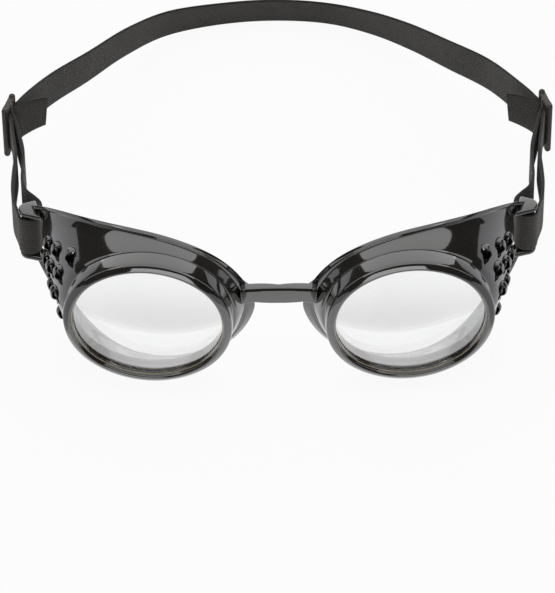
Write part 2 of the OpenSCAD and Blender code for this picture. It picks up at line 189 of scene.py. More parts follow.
class Graph:
    """A material's nodes, made from expressions."""

    def __init__(self, name):
        self.material = bpy.data.materials.new(name)
        self.material.use_nodes = True
        self.tree = self.material.node_tree
        self.tree.nodes.clear()

    def feed(self, socket, value):
        if isinstance(value, Value):
            self.tree.links.new(value.socket, socket)
        elif value is not None:
            if socket.type == "RGBA" and len(value) == 3:
                value = (*value, 1.0)
            socket.default_value = value

    def node(self, kind, settings=None, *values, output=0, **named):
        """Adds a node: its settings first, then its sockets in order or by name."""
        made = self.tree.nodes.new(kind)
        for key, value in (settings or {}).items():
            setattr(made, key, value)
        for socket, value in zip(made.inputs, values):
            self.feed(socket, value)
        for key, value in named.items():
            self.feed(made.inputs[key.replace("_", " ")], value)
        return Value(self, made.outputs[output])

    def place(self):
        return self.node("ShaderNodeTexCoord", output="Object")

    def uv(self):
        return self.node("ShaderNodeUVMap", {"uv_map": "UVMap"})

    def noise(self, place, scale, detail=2.0, rough=0.5, stretch=None):
        if stretch:
            place = self.node("ShaderNodeVectorMath", {"operation": "MULTIPLY"}, place, stretch)
        return self.node(
            "ShaderNodeTexNoise", None, Vector=place, Scale=scale, Detail=detail, Roughness=rough
        )

    def cells(self, place, scale):
        return self.node("ShaderNodeTexVoronoi", None, Vector=place, Scale=scale)

    def mix(self, factor, a, b):
        made = self.tree.nodes.new("ShaderNodeMix")
        made.data_type = "RGBA"
        self.feed(made.inputs["Factor"], factor)
        colours = [s for s in made.inputs if s.type == "RGBA"]
        self.feed(colours[0], a)
        self.feed(colours[1], b)
        return Value(self, next(s for s in made.outputs if s.type == "RGBA"))

    def blend(self, factor, a, b):
        """One shader blended into another."""
        made = self.tree.nodes.new("ShaderNodeMixShader")
        for socket, value in zip(made.inputs, (factor, a, b)):
            self.feed(socket, value)
        return Value(self, made.outputs[0])

    def bump(self, height, distance, strength):
        return self.node(
            "ShaderNodeBump", None, Height=height, Distance=distance, Strength=strength
        )

    def surface(self, shader):
        out = self.tree.nodes.new("ShaderNodeOutputMaterial")
        self.tree.links.new(shader.socket, out.inputs["Surface"])
        return self.material


# ---------- the rules of the shape, as in the part's source, in millimetres


class Shape:
    """The curves of the goggles, worked out from the sizes."""

    temple_angle, brow_angle, nose_angle, cheek_angle = -8.0, 112.0, 184.0, 260.0
    temple_reach, brow_reach, cheek_reach, nose_reach = 16.3, 1.5, 4.0, 7.4
    rim_back, cheek_wrap, temple_wrap = 10.1, 4.2, 45.7
    post_r, post_in, post_ahead, strap_z, ear_t = 2.6, 3.7, 2.3, -3.4, 1.9
    fit_gap, slot_gap, strap_gap, weave_gap = 0.1, 0.6, 0.3, 0.15
    slider_z, slider_back, slider_out, slider_turn = -8.0, 62.3, 9.7, 15.0
    bar_r, mid_r, mid_in, rail_t, knob_h = 1.1, 0.7, 0.8, 1.4, 0.9
    tail_l, tail_n, tail_lean = 11.0, 5, 14.0
    end_ease, neck_wall, lens_lap, snap_h, snap_half = 0.54, 1.6, 1.2, 0.3, 0.6
    slot_room, slot_l, level_l, rest_gap = 0.6, 30.0, 6.0, 0.12
    vent_mid, vent_drift = -3.0, 1.1

    def __init__(self, sizes, strap):
        for key in (
            "lens_x", "window_r", "window_h", "bezel_w", "bezel_front", "collar_depth",
            "collar_wall", "cup_wall", "bead_h", "bead_w", "lens_t",
        ):
            setattr(self, key, getattr(sizes, key) / MM)
        self.yaw = sizes.yaw
        self.around = sizes.around
        self.strap_w = strap.width / MM
        self.strap_t = strap.thickness / MM
        self.end_r = self.window_h - self.end_ease * (self.window_r - self.window_h)
        self.end_x = self.window_r - self.end_r
        self.side_r = (self.end_x**2 + self.window_h**2 - self.end_r**2) / (
            2 * (self.window_h - self.end_r)
        )
        self.side_in = self.side_r - self.window_h
        self.join = math.atan2(self.side_in, self.end_x)
        self.bezel_r = self.window_r + self.bezel_w
        self.collar_bore = self.bezel_r - self.collar_wall
        self.neck_r = self.collar_bore - self.fit_gap
        self.neck_front = self.lens_t + self.fit_gap
        self.shoulder_y = self.collar_depth + 2 * self.fit_gap
        self.shoulder_r = self.bezel_r - self.fit_gap
        self.snap_y = (self.neck_front + self.collar_depth) / 2
        self.slot_h = self.strap_w + 2 * self.slot_gap
        self.face_half = self.lens_x + self.bezel_r + self.temple_reach
        self.post_x = self.bezel_r + self.temple_reach - self.post_in
        self.post_y = self.face_y(self.lens_x + self.post_x) - self.post_ahead
        post_room = self.post_r + self.strap_gap + self.strap_t
        self.slot_front = self.post_y - post_room - self.slot_room

    def oval_at(self, r, a):
        """Distance from a lens's middle, in direction a, to the oval r wide to each side."""
        c, s = np.abs(np.cos(a)), np.abs(np.sin(a))
        e, f = r - self.end_x, r - self.window_r + self.side_r
        join = np.arctan2(e * math.sin(self.join), self.end_x + e * math.cos(self.join))
        end = self.end_x * c + np.sqrt(np.maximum(e * e - (self.end_x * s) ** 2, 0))
        side = np.sqrt(np.maximum(f * f - (self.side_in * c) ** 2, 0)) - self.side_in * s
        return np.where(np.arctan2(s, c) < join, end, side)

    def reach(self, a):
        """The rim's distance outside the bezel in direction a, in degrees from -100 to 260."""

        def between(high_a, high, low_a, low, bend):
            s = (a - high_a) / (low_a - high_a)
            swell = np.maximum(1 - (np.hypot(s, 0.05) - 0.05), 0) ** bend
            return low + (high - low) * swell

        return np.select(
            [a < self.temple_angle, a < self.brow_angle, a < self.nose_angle],
            [
                between(self.temple_angle, self.temple_reach, self.cheek_angle - 360,
                        self.cheek_reach, 2.1),
                between(self.temple_angle, self.temple_reach, self.brow_angle,
                        self.brow_reach, 2.6),
                between(self.nose_angle, self.nose_reach, self.brow_angle, self.brow_reach, 2.1),
            ],
            between(self.nose_angle, self.nose_reach, self.cheek_angle, self.cheek_reach, 2.1),
        )

    def ring(self, deg, r, y):
        """Points of the oval r wide to each side, y behind the lens's front, turned with it."""
        a = np.radians(deg)
        p = self.oval_at(r, a)
        x = p * np.cos(a)
        c, s = math.cos(self.yaw), math.sin(self.yaw)
        return np.stack([x * c - y * s, x * s + y * c, p * np.sin(a)], -1)

    def out(self, deg):
        """The direction from the lens's middle outwards."""
        a = np.radians(deg)
        return np.stack([np.cos(a), np.zeros_like(a), np.sin(a)], -1)

    def face_y(self, x):
        """How far the rim lies behind the lenses at a distance from the nose."""
        return (
            self.rim_back + self.cheek_wrap * (x / self.face_half) ** 2
            + self.temple_wrap * (x / self.face_half) ** 4
        )

    def rim(self, deg, inset=0.0):
        """Points of the rim that lies on the face, or of a line inset from it."""
        a = np.radians(deg)
        r = self.oval_at(self.bezel_r, a) + self.reach(deg)
        y = self.face_y(self.lens_x + r * np.cos(a))
        return np.stack([(r - inset) * np.cos(a), y, (r - inset) * np.sin(a)], -1)

    def wall(self, deg, t):
        """Points of the cup's outside, from the shoulder, where t is 0, to the rim."""
        start, end = self.ring(deg, self.shoulder_r, self.shoulder_y), self.rim(deg, self.bead_h)
        t = np.asarray(t, float)
        g = 0.65 * t**0.6 + 0.35 * t**8
        move = end - start
        return start + np.stack([move[..., 0] * g, move[..., 1] * t, move[..., 2] * g], -1)

    def wall_share(self, deg, y):
        """The t at which the wall is y behind the lenses."""
        start = self.ring(deg, self.shoulder_r, self.shoulder_y)[..., 1]
        return (y - start) / (self.rim(deg)[..., 1] - start)

    @property
    def floor(self):
        """Height of the rims' lowest point."""
        deg = -100 + np.arange(60) * 6.0
        return self.rim(deg)[:, 2].min()


def rounded(points, radii, steps=4):
    """Rounds the corners of closed rows of points. points is rows x corners x 3."""
    before = np.roll(points, 1, 1) - points
    after = np.roll(points, -1, 1) - points
    made = []
    for i, r in enumerate(radii):
        corner = points[:, i]
        if not r:
            made.append(corner)
            continue
        la = np.linalg.norm(before[:, i], axis=1, keepdims=True)
        lb = np.linalg.norm(after[:, i], axis=1, keepdims=True)
        a = corner + before[:, i] / la * np.minimum(r, la * 0.49)
        b = corner + after[:, i] / lb * np.minimum(r, lb * 0.49)
        for k in range(steps + 1):
            u = k / steps
            made.append(a * (1 - u) ** 2 + 2 * corner * u * (1 - u) + b * u * u)
    return np.stack(made, 1)


# ---------- meshes


def add_mesh(name, verts, faces, material=None, shift=True):
    """An object from points in millimetres."""
    verts = np.asarray(verts, float)
    mesh = bpy.data.meshes.new(name)
    mesh.from_pydata((verts * MM + (SHIFT if shift else 0)).tolist(), [], [list(f) for f in faces])
    mesh.validate()
    made = bpy.data.objects.new(name, mesh)
    bpy.context.collection.objects.link(made)
    if material:
        mesh.materials.append(material)
    return made


def outward(verts, faces):
    """The same faces, turned over if the solid they close is inside out."""
    v = np.asarray(verts, float)
    total = 0.0
    for f in faces:
        a = v[f[0]]
        for i in range(1, len(f) - 1):
            total += np.dot(a, np.cross(v[f[i]], v[f[i + 1]]))
    return [list(reversed(f)) for f in faces] if total < 0 else [list(f) for f in faces]


def grid_faces(rows, n, closed=True):
    """Faces between rows of n points, which close on the first row or get an end face each."""
    faces = []
    for i in range(rows if closed else rows - 1):
        for j in range(n):
            a, b = i * n + j, i * n + (j + 1) % n
            c, d = ((i + 1) % rows) * n + (j + 1) % n, ((i + 1) % rows) * n + j
            faces.append([a, b, c, d])
    if not closed:
        faces.append(list(range(n))[::-1])
        faces.append([(rows - 1) * n + j for j in range(n)])
    return faces


def loft(name, points, closed=True, material=None):
    """A solid from rows of closed sections. points is rows x section x 3."""
    rows, n = points.shape[:2]
    verts = points.reshape(-1, 3)
    return add_mesh(name, verts, outward(verts, grid_faces(rows, n, closed)), material)


def lathe(name, profile, steps=48, centre=(0, 0, 0), axis="Z", material=None, shift=True):
    """Turns a profile of [radius, height] whose ends lie on the axis."""
    profile = np.asarray(profile, float)
    inner = profile[1:-1]
    a = np.arange(steps) * 2 * math.pi / steps
    x = inner[:, None, 0] * np.cos(a)
    y = inner[:, None, 0] * np.sin(a)
    z = np.broadcast_to(inner[:, None, 1], x.shape)
    body = np.stack([x, y, z], -1).reshape(-1, 3)
    verts = np.vstack([body, [[0, 0, profile[0, 1]], [0, 0, profile[-1, 1]]]])
    k = len(inner)
    faces = grid_faces(k, steps, False)[:-2]
    low, high = len(body), len(body) + 1
    faces += [[low, (j + 1) % steps, j] for j in range(steps)]
    faces += [[high, (k - 1) * steps + j, (k - 1) * steps + (j + 1) % steps] for j in range(steps)]
    if axis == "Y":
        verts = np.stack([verts[:, 0], verts[:, 2], -verts[:, 1]], -1)
    verts = verts + np.array(centre, float)
    return add_mesh(name, verts, outward(verts, faces), material, shift)


def arc(cx, cy, r, a0, a1, n):
    """Points of an arc, from angle a0 to a1 in degrees."""
    a = np.radians(np.linspace(a0, a1, n))
    return [[cx + r * math.cos(v), cy + r * math.sin(v)] for v in a]


def evaluated(obj):
    """Replaces an object's mesh by what its modifiers make of it."""
    bpy.context.view_layer.update()
    done = bpy.data.meshes.new_from_object(obj.evaluated_get(bpy.context.evaluated_depsgraph_get()))
    old = obj.data
    obj.modifiers.clear()
    obj.data = done
    done.name = obj.name
    bpy.data.meshes.remove(old)
    return obj


def boolean(obj, other, operation):
    """Joins, cuts or limits an object with another, which is used up."""
    change = obj.modifiers.new("cut", "BOOLEAN")
    change.solver = "MANIFOLD"
    change.operation = operation
    change.object = other
    evaluated(obj)
    drop(other)
    return obj


def drop(obj):
    mesh = obj.data
    bpy.data.objects.remove(obj)
    bpy.data.meshes.remove(mesh)


def mirrored(obj, name):
    """The same piece for the other side of the nose."""
    mesh = obj.data.copy()
    mesh.transform(Matrix.Scale(-1, 4, (1, 0, 0)))
    mesh.flip_normals()
    mesh.name = name
    made = bpy.data.objects.new(name, mesh)
    bpy.context.collection.objects.link(made)
    return made


def joined(obj, *others):
    with bpy.context.temp_override(
        active_object=obj, object=obj, selected_objects=[obj, *others],
        selected_editable_objects=[obj, *others],
    ):
        bpy.ops.object.join()
    return obj


def smooth(obj, degrees=32):
    mesh = obj.data
    mesh.polygons.foreach_set("use_smooth", [True] * len(mesh.polygons))
    mesh.set_sharp_from_angle(angle=math.radians(degrees))
    return obj


def dress(obj, material):
    obj.data.materials.clear()
    obj.data.materials.append(material)
    return obj


# ---------- materials


def gloss_plastic(name, base, dust, seam_x=None, roughness=0.07):
    """Glossy moulded plastic with orange peel, flow marks, fine dust and hairline scratches."""
    g = Graph(name)
    place = g.place()
    cloud = g.noise(place, 55.0, 3.0, 0.55)
    peel = g.noise(place, 620.0, 2.0, 0.5)
    flow = g.noise(place, 90.0, 4.0, 0.6, stretch=(1.0, 0.25, 1.0))
    hair = g.noise(place, 900.0, 2.0, 0.5, stretch=(0.08, 1.0, 0.5)).rise(0.66, 0.74)
    specks = 1.0 - g.cells(place, 850.0).rise(0.05, 0.1)
    grime = g.noise(place, 21.0, 4.0, 0.6).rise(0.5, 0.8)
    dirt = (specks * grime * 0.16 + grime * 0.012).clamp()
    tone = g.mix(cloud.rise(0.3, 0.7), [c * 0.8 for c in base], [c * 1.25 for c in base])
    tone = g.mix(dirt, tone, dust)
    height = peel * 0.35 + flow * 0.65 + hair * -0.25
    if seam_x:
        x = g.node("ShaderNodeSeparateXYZ", None, place)
        line = 1.0 - ((x.math("ABSOLUTE") - seam_x).math("ABSOLUTE")).rise(0.00005, 0.00022)
        height = height + line * 1.2
    normal = g.bump(height, 0.00004, 0.55)
    rough = roughness + flow.rise(0.35, 0.7) * 0.05 + hair * 0.12 + specks * grime * 0.3
    return g.surface(
        g.node(
            "ShaderNodeBsdfPrincipled", None, Base_Color=tone, Roughness=rough.clamp(), IOR=1.54,
            Specular_IOR_Level=1.0, Normal=normal, Coat_Weight=1.0, Coat_Roughness=0.03,
            Coat_IOR=1.6,
        )
    )


def lens_glass(name, tint, shape):
    """Clear plastic whose reflection is painted on: white at the top, and a soft grey painted sheen
    that ends in a curve below the middle.
    """
    g = Graph(name)
    place = g.place()
    smear = g.noise(place, 38.0, 4.0, 0.65, stretch=(1.0, 1.0, 0.45)).rise(0.42, 0.8)
    specks = 1.0 - g.cells(place, 620.0).rise(0.03, 0.07)
    ripple = g.noise(place, 30.0, 1.0, 0.4)
    spot = g.node("ShaderNodeSeparateXYZ", None, place)
    out = (spot.part("X").math("ABSOLUTE") - shape.lens_x * MM) / (shape.window_r * MM)
    up = (spot.part("Z") - float(SHIFT[2])) / (shape.window_h * MM)
    low = up - ((out + 0.12) * (out + 0.12) * 0.34 - 0.26) + (ripple - 0.5) * 0.06
    # Painted reflection: a soft grey painted sheen below a curve under the lens's middle, white
    # above it.
    painted_sheen = low.rise(-0.01, 0.06) * (1.0 - up.rise(-0.1, 0.85))
    facing = g.node("ShaderNodeLayerWeight", None, Blend=0.5, output="Facing")
    # The reflective face's colour carries the painted reflection: white, or grey under the painted
    # sheen.
    coat = g.mix(painted_sheen, (1.0, 1.0, 1.0), (0.74, 0.74, 0.735))
    face = g.node(
        "ShaderNodeBsdfPrincipled", None, Base_Color=g.mix(smear * 0.12, coat, (0.6, 0.6, 0.6)),
        Metallic=1.0, Roughness=(0.03 + smear * 0.05 + specks * 0.3).clamp(),
        Normal=g.bump(ripple, 0.00002, 0.3),
    )
    clear = g.node("ShaderNodeBsdfTransparent", None, Color=tint)
    # Painted shade: the reflective share drops towards the temple side, so the lens reads darker
    # there.
    share = facing**5.0 * 0.5 + 0.42 - out.rise(-0.1, 1.0) * 0.14 + smear * 0.03 + specks * 0.05
    return g.surface(g.blend(share.clamp(), clear, face))


def woven_elastic(name, base, crest_highlight, strap):
    """Elastic with raised ribs along it, threads that pass over and under them, and lint; the
    threads' crests carry a painted highlight and their hollows painted shade.
    """
    g = Graph(name)
    uv = g.uv()
    parts = g.node("ShaderNodeSeparateXYZ", None, uv)
    along, across = parts.part("X"), parts.part("Y")
    warp = g.noise(uv, 350.0, 2.0, 0.5) - 0.5
    rib_turn = (across / strap.rib_pitch) * math.tau + warp * 0.9
    rib = rib_turn.math("SINE") * 0.5 + 0.5
    side = (rib_turn * 0.5).math("SINE").math("SIGN")
    weft_turn = (along / strap.weft_pitch) * math.tau + side * 1.57 + warp * 1.6
    weft = weft_turn.math("SINE") * 0.5 + 0.5
    weave = rib**0.8 * (weft**0.8 * 0.8 + 0.2)
    fibre = g.noise(uv, 5200.0, 2.0, 0.6, stretch=(0.35, 1.0, 1.0))
    wear = g.noise(uv, 60.0, 4.0, 0.6)
    edge = (across.math("ABSOLUTE")).rise(strap.width * 0.47, strap.width * 0.5)
    lint = 1.0 - g.cells(g.place(), 480.0).rise(0.05, 0.1)
    # Painted light: the threads' crests get a painted highlight and the hollows between them a
    # painted shade darker than the yarn.
    tone = g.mix((weave * 0.75 + fibre * 0.35 - 0.12).clamp(), [c * 0.55 for c in base], crest_highlight)
    tone = g.mix(wear.rise(0.35, 0.75) * 0.5, tone, base)
    tone = g.mix(edge * 0.5, tone, [c * 0.6 for c in base])
    tone = g.mix(lint * 0.35, tone, (0.4, 0.39, 0.37))
    height = weave + fibre * 0.25 + lint * 0.3
    return g.surface(
        g.node(
            "ShaderNodeBsdfPrincipled", None, Base_Color=tone,
            Roughness=(0.74 + fibre * 0.2 - weave * 0.1).clamp(), Sheen_Weight=0.25,
            Sheen_Roughness=0.5, Normal=g.bump(height, 0.00016, 0.9),
        )
    )


def slider_plastic(name, base, dust):
    """Nylon with a soft gloss, a fine grain and rubbed edges."""
    g = Graph(name)
    place = g.place()
    grain = g.noise(place, 2600.0, 2.0, 0.6)
    rub = g.noise(place, 260.0, 3.0, 0.6).rise(0.45, 0.75)
    streak = g.noise(place, 700.0, 2.0, 0.5, stretch=(1.0, 1.0, 0.1)).rise(0.55, 0.7)
    tone = g.mix(rub * 0.5, base, [c * 1.7 for c in base])
    tone = g.mix(streak * 0.12, tone, dust)
    return g.surface(
        g.node(
            "ShaderNodeBsdfPrincipled", None, Base_Color=tone,
            Roughness=(0.27 + rub * 0.12 + grain * 0.08).clamp(), IOR=1.53,
            Normal=g.bump(grain * 0.6 + streak * -0.4, 0.00003, 0.6),
        )
    )


def seamless(name, tone, share):
    """A white sweep with a soft shadow, and a painted reflection: gloss sees it dim grey beside the
    goggles, and white in front of and behind them.
    """
    g = Graph(name)
    place = g.place()
    grain = g.noise(place, 40.0, 3.0, 0.5)
    colour = g.mix(grain.rise(0.3, 0.7) * 0.3, tone, [c * 0.985 for c in tone])
    sheet = g.node("ShaderNodeBsdfDiffuse", None, Color=colour)
    glow = g.node("ShaderNodeEmission", None, Color=(1, 1, 1), Strength=1.0)
    # Painted reflection: a grey glow that only glossy rays see.
    dim = g.node("ShaderNodeEmission", None, Color=(0.48, 0.48, 0.5), Strength=1.0)
    rays = g.tree.nodes.new("ShaderNodeLightPath")
    camera, glossy, through = (
        Value(g, rays.outputs[n]) for n in ("Is Camera Ray", "Is Glossy Ray", "Is Transmission Ray")
    )
    spot = g.node("ShaderNodeSeparateXYZ", None, place)
    side, back = spot.part("X").math("ABSOLUTE"), spot.part("Y")
    # Painted reflection zones, in front of and behind the goggles, where their gloss shows white
    # floor.
    near = (1.0 - back.rise(-0.07, -0.04)) * (1.0 - side.rise(0.085, 0.1))
    far = back.rise(0.0, 0.3) * (1.0 - (side / (back.math("MAXIMUM", 0.0) + 0.05)).rise(0.45, 1.0))
    bright = (near + far).clamp()
    white = (camera + through + glossy * bright).clamp() * share
    lit = g.blend(white, sheet, glow)
    return g.surface(g.blend(glossy * (1.0 - bright), lit, dim))


# ---------- geometry nodes


def pattern_tree():
    """Puts a shape on each point of a mesh. Its size is a named input."""
    tree = bpy.data.node_groups.new("Vent pattern", "GeometryNodeTree")
    face = tree.interface
    face.new_socket("Geometry", in_out="INPUT", socket_type="NodeSocketGeometry")
    shape = face.new_socket("Shape", in_out="INPUT", socket_type="NodeSocketObject")
    size = face.new_socket("Size", in_out="INPUT", socket_type="NodeSocketFloat")
    size.default_value = 1.0
    finish = face.new_socket("Finish", in_out="INPUT", socket_type="NodeSocketMaterial")
    face.new_socket("Geometry", in_out="OUTPUT", socket_type="NodeSocketGeometry")
    nodes, links = tree.nodes, tree.links
    given, result = nodes.new("NodeGroupInput"), nodes.new("NodeGroupOutput")
    info = nodes.new("GeometryNodeObjectInfo")
    info.transform_space = "ORIGINAL"
    points = nodes.new("GeometryNodeMeshToPoints")
    place = nodes.new("GeometryNodeInstanceOnPoints")
    turn = nodes.new("GeometryNodeInputNamedAttribute")
    turn.data_type = "FLOAT_VECTOR"
    turn.inputs["Name"].default_value = "turn"
    euler = nodes.new("FunctionNodeEulerToRotation")
    real = nodes.new("GeometryNodeRealizeInstances")
    coat = nodes.new("GeometryNodeSetMaterial")
    for start, output, end, socket in (
        (turn, "Attribute", euler, 0), (euler, 0, place, "Rotation"),
        (given, "Geometry", points, "Mesh"), (points, "Points", place, "Points"),
        (given, "Shape", info, "Object"), (info, "Geometry", place, "Instance"),
        (given, "Size", place, "Scale"), (place, "Instances", real, "Geometry"),
        (real, "Geometry", coat, "Geometry"), (given, "Finish", coat, "Material"),
        (coat, "Geometry", result, "Geometry"),
    ):
        links.new(start.outputs[output], end.inputs[socket])
    return tree, {"shape": shape.identifier, "size": size.identifier, "finish": finish.identifier}


def patterned(name, points, turns, shape, tree, sockets, material):
    """A mesh with the shape on each point, turned as the wall lies there."""
    made = add_mesh(name, points, [])
    turned = made.data.attributes.new("turn", "FLOAT_VECTOR", "POINT")
    turned.data.foreach_set("vector", np.array(turns).ravel())
    change = made.modifiers.new("pattern", "NODES")
    change.node_group = tree
    change[sockets["shape"]] = shape
    change[sockets["size"]] = 1.0
    change[sockets["finish"]] = material
    evaluated(made)
    drop(shape)
    return made


# ---------- the moulding


def directions(shape):
    return -100 + np.arange(shape.around) * 360.0 / shape.around


def cup_rows(shape):
    """A cup's wall, neck and rim, as rows of closed sections round its lens."""
    deg = directions(shape)
    bead = shape.wall_share(deg, shape.rim(deg)[:, 1] - shape.bead_w)
    neck, snap = shape.neck_r, shape.snap_y
    corners, radii = [], []

    def corner(points, radius=0.0):
        corners.append(points)
        radii.append(radius)

    corner(shape.ring(deg, neck, shape.neck_front), 0.3)
    corner(shape.ring(deg, neck, snap - shape.snap_half), 0.15)
    corner(shape.ring(deg, neck + shape.snap_h, snap), 0.25)
    corner(shape.ring(deg, neck, snap + shape.snap_half), 0.15)
    corner(shape.ring(deg, neck, shape.shoulder_y), 0.1)
    corner(shape.ring(deg, shape.shoulder_r, shape.shoulder_y), 0.35)
    for t in np.linspace(0.06, 0.97, 34):
        corner(shape.wall(deg, t * bead))
    edge = shape.wall(deg, bead)
    corner(edge, 0.3)
    corner(edge + shape.bead_h * shape.out(deg), 0.55)
    corner(shape.rim(deg), 0.6)
    corner(shape.rim(deg, shape.bead_h + shape.cup_wall), 0.6)
    for t in np.linspace(0.95, 0.08, 20):
        corner(shape.wall(deg, t) - shape.cup_wall * shape.out(deg))
    inside = neck - shape.neck_wall
    corner(shape.ring(deg, inside, shape.shoulder_y + 0.8), 0.4)
    corner(shape.ring(deg, inside, shape.neck_front), 0.3)
    return rounded(np.stack(corners, 1), radii)


def plug(name, shape, offset):
    """The space inside a surface that runs offset outside the cup's wall."""
    deg = directions(shape)
    rows = [shape.wall(deg, t) + offset * shape.out(deg) for t in np.linspace(0.02, 1.0, 40)]
    rows = np.stack(rows, 0)
    rows[..., 0] += shape.lens_x
    return loft(name, rows, closed=False)


def vent_places(shape, vents):
    """The middle of each vent's mouth on the right cup's wall, and how the wall lies there."""
    points, turns = [], []
    for row in range(vents.count):
        y = vents.first_row / MM + row * vents.row_pitch / MM
        n = vents.count - row
        if y + vents.hood_l / MM + 0.5 >= shape.slot_front:
            continue
        mid = np.array(shape.vent_mid)
        step = vents.pitch / MM / np.linalg.norm(shape.wall(mid, shape.wall_share(mid, y)))
        for i in range(n):
            deg = mid - shape.vent_drift * row + (i - (n - 1) / 2) * math.degrees(step)
            share = shape.wall_share(deg, y)
            at = shape.wall(deg, share)
            back = Vector(shape.wall(deg, share + 0.03) - shape.wall(deg, share - 0.12))
            back = back.normalized()
            side = back.cross(Vector(shape.out(deg))).normalized()
            turns.append(tuple(Matrix((side, back, side.cross(back))).transposed().to_euler()))
            points.append(at + np.array([shape.lens_x, 0.5, 0]))
    return np.array(points), turns


def bevelled(obj, width, segments=3):
    """The object with its edges rounded off."""
    edge = obj.modifiers.new("edge", "BEVEL")
    edge.width = width * MM
    edge.segments = segments
    edge.limit_method = "ANGLE"
    edge.angle_limit = math.radians(40)
    return evaluated(obj)


def prism(name, outline, z0, z1, bevel=0.0, axis="Z"):
    """A plate of an outline, from z0 to z1, with rounded edges."""
    n = len(outline)
    verts = [[x, y, z0] for x, y in outline] + [[x, y, z1] for x, y in outline]
    faces = [list(range(n))[::-1], [n + i for i in range(n)]]
    faces += [[i, (i + 1) % n, n + (i + 1) % n, n + i] for i in range(n)]
    if axis == "Y":
        verts = [[x, z, y] for x, y, z in verts]
    made = add_mesh(name, verts, outward(verts, faces))
    return bevelled(made, bevel) if bevel else made


def ears(shape):
    """The plates above and below the strap's slot that hold the post."""
    made = []
    px, py, r = shape.post_x, shape.post_y, shape.post_r + 0.9
    turn = arc(px, py, r, -80, 80, 24)
    outline = [[px - 4.6, py - 5.2], *turn, [px - 2.2, py + r + 1]]
    for side in (-1, 1):
        mid = shape.strap_z + side * (shape.slot_h + shape.ear_t) / 2
        flat = [[x + shape.lens_x, y] for x, y in outline]
        made.append(prism(f"ear{side}", flat, mid - shape.ear_t / 2, mid + shape.ear_t / 2, 0.8))
    return made


def post(shape):
    """The upright that the elastic goes round."""
    half = (shape.slot_h + shape.ear_t) / 2
    profile = [[0, -half], [shape.post_r, -half], [shape.post_r, half], [0, half]]
    return lathe("post", profile, 64, (shape.lens_x + shape.post_x, shape.post_y, shape.strap_z))


def bow(half_width, crown, sag, n=48):
    """An arch that is half_width wide on each side and drops by sag at its ends."""
    r = (half_width**2 + sag**2) / (2 * sag)
    x = np.linspace(-half_width, half_width, n)
    return [[v, crown - r + math.sqrt(r * r - v * v)] for v in x]


def bridge(shape):
    """An arched bar, bowed forward, with a flat chamfer along its upper front edge."""
    top, height, thick, forward, taper, chamfer = 9.0, 6.0, 2.9, 1.8, 2.6, 0.7
    half = shape.lens_x - shape.bezel_r - shape.nose_reach + 4.9
    back = shape.face_y(half) + 0.1 - forward / 2
    crown = np.array(bow(half, top, 2))
    x, high = crown[:, 0], crown[:, 1]
    front = back - thick - np.array(bow(half, forward, forward))[:, 1]
    inner = np.interp(np.abs(x), [0, half - taper, half], [forward, 0, -3.8])
    low = np.interp(np.abs(x), [0, half - 4.4, half], [0, 0.2, 2]) * -1 + top - height
    corners = [
        (back - inner, high), (front + chamfer, high), (front, high - chamfer), (front, low),
        (back - inner, low),
    ]
    rows = np.stack([np.stack([x, y, z], -1) for y, z in corners], 1)
    return loft("bridge", rounded(rows, (0.5, 0.1, 0.1, 0.5, 0.5)), closed=False)


def vent_pieces(shape, vents, gloss):
    """The vents of a cup as four meshes: hoods to add, then grooves, bores and ports to cut."""
    points, turns = vent_places(shape, vents)
    tree, sockets = pattern_tree()
    mouth, hood = vents.mouth_r / MM, (vents.mouth_r + vents.hood_wall) / MM
    depth, groove, sink = vents.hood_l / MM, vents.groove_l / MM, vents.sink / MM
    rise, port_r, lip_r = vents.rise / MM, 0.7, 0.25
    round_end = arc(0, depth - hood, hood, 0, 90, 12)
    lip = arc(hood - lip_r, lip_r, lip_r, -90, 0, 5)
    shapes = {
        "hoods": [[0, 0], *lip, *round_end[:-1], [0, depth]],
        "grooves": [[0, -groove], [0.2, -groove], [mouth * 0.72, -groove * 0.5], [mouth, -0.4],
                    [mouth, 0.6], [0, 0.6]],
        "bores": [[0, 0.2], [mouth, 0.2], [mouth, 1.6], [mouth * 0.6, 3.2], [0, 3.2]],
        "ports": [[0, -3], [port_r, -3], [port_r, 0], [0, 0]],
    }
    for name, profile in shapes.items():
        if name == "ports":
            one = lathe(name, profile, 24, (0, 2.7, 0), shift=False)
        else:
            one = lathe(name, profile, 48, axis="Y", shift=False)
        # A groove's point lies on the wall, and all behind the mouth sinks into it.
        for vertex in one.data.vertices:
            ahead = min(1.0, max(0.0, -vertex.co.y / (groove * MM)))
            vertex.co.z -= (1 - ahead) * sink * MM
        shapes[name] = patterned(name, points, turns, one, tree, sockets, gloss)
    hoods, grooves, bores, ports = shapes.values()
    inner = rise - vents.hood_wall / MM
    for piece, top in ((hoods, rise), (grooves, inner), (bores, inner)):
        boolean(piece, plug("limit", shape, top), "INTERSECT")
    for piece in (hoods, grooves, bores):
        boolean(piece, plug("lining", shape, -shape.cup_wall * 0.75), "DIFFERENCE")
    return hoods, grooves, bores, ports


def strap_slot(shape):
    """The cut that the elastic goes through, in front of the post and out behind it."""
    half, front = 12, shape.slot_front
    x0, back = shape.lens_x + shape.post_x - half, front + shape.slot_l
    outline = [[x0, front], [x0 + 2 * half, front], [x0 + 2 * half, back], [x0, back]]
    reach = shape.slot_h / 2
    return prism("slot", outline, shape.strap_z - reach, shape.strap_z + reach)


